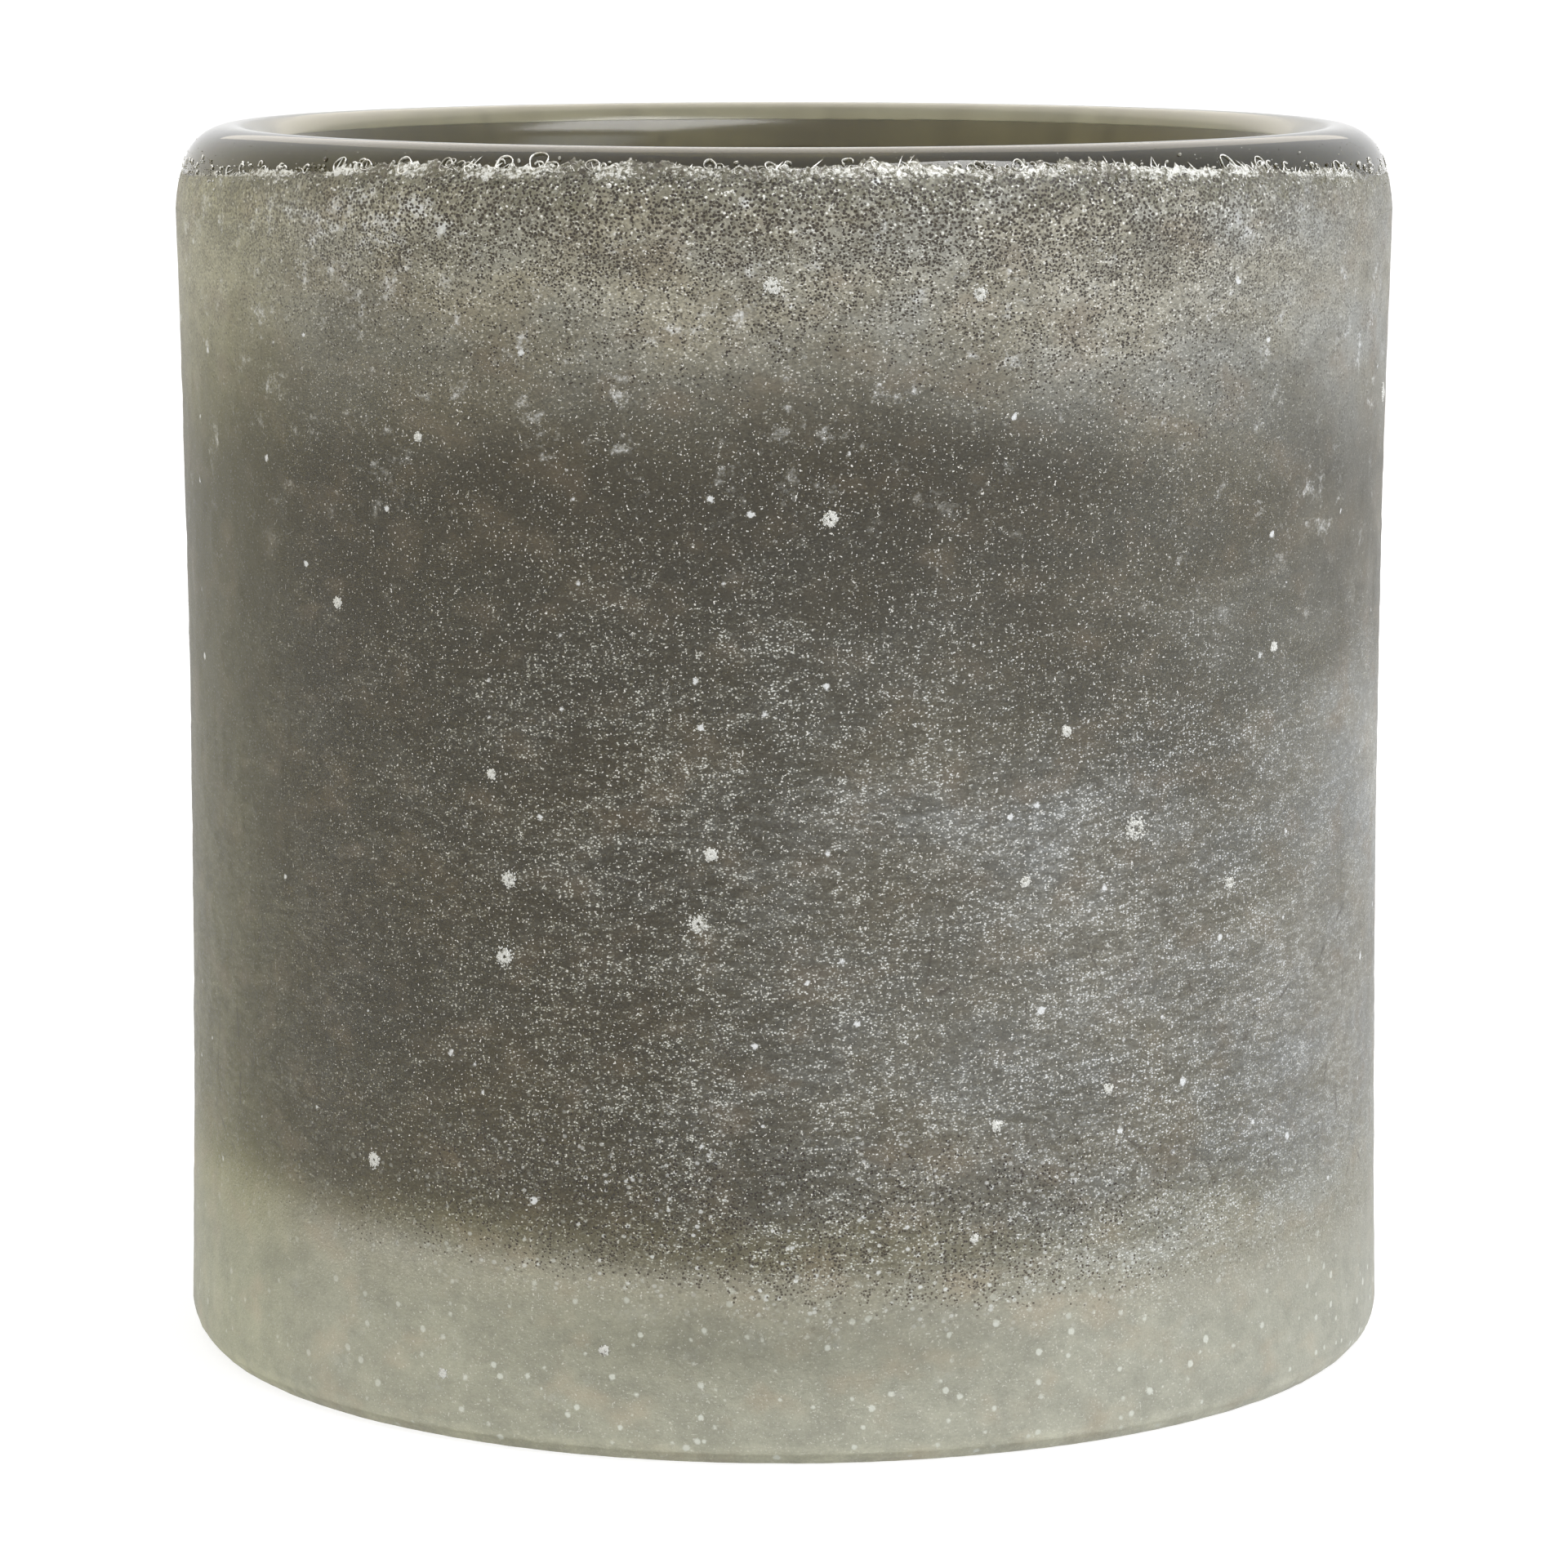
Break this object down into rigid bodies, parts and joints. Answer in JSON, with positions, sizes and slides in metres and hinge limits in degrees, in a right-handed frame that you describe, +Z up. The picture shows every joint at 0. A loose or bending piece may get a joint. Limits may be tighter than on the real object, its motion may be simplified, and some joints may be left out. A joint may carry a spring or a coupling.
{
  "type": "vase",
  "caption": "Thick-walled cylinder vase of smoky glass with a heavy base, a rounded clear lip and a fused granulate frost on the outside.",
  "frame": {"origin": "centre of the underside, on the surface the vase stands on", "axes": "+Z up along the vase's axis, -Y towards the viewer of the front"},
  "size_m": [0.15, 0.15, 0.15],
  "materials": {
    "clear_glass": "clear, faintly green, fire-polished",
    "smoke_glass": "smoky brown-grey, smooth",
    "frost": "fused fine granulate, matt and translucent",
    "coarse_frost": "fused coarse granulate, pitted",
    "foam": "clear bubbles and whitish foam"
  },
  "bodies": {
    "root": {"glass_body": "clear_glass", "smoke_lining": "smoke_glass", "frost_skin": "frost", "granule_collar": "coarse_frost", "bubble_fringe": "foam"}
  },
  "joints": []
}
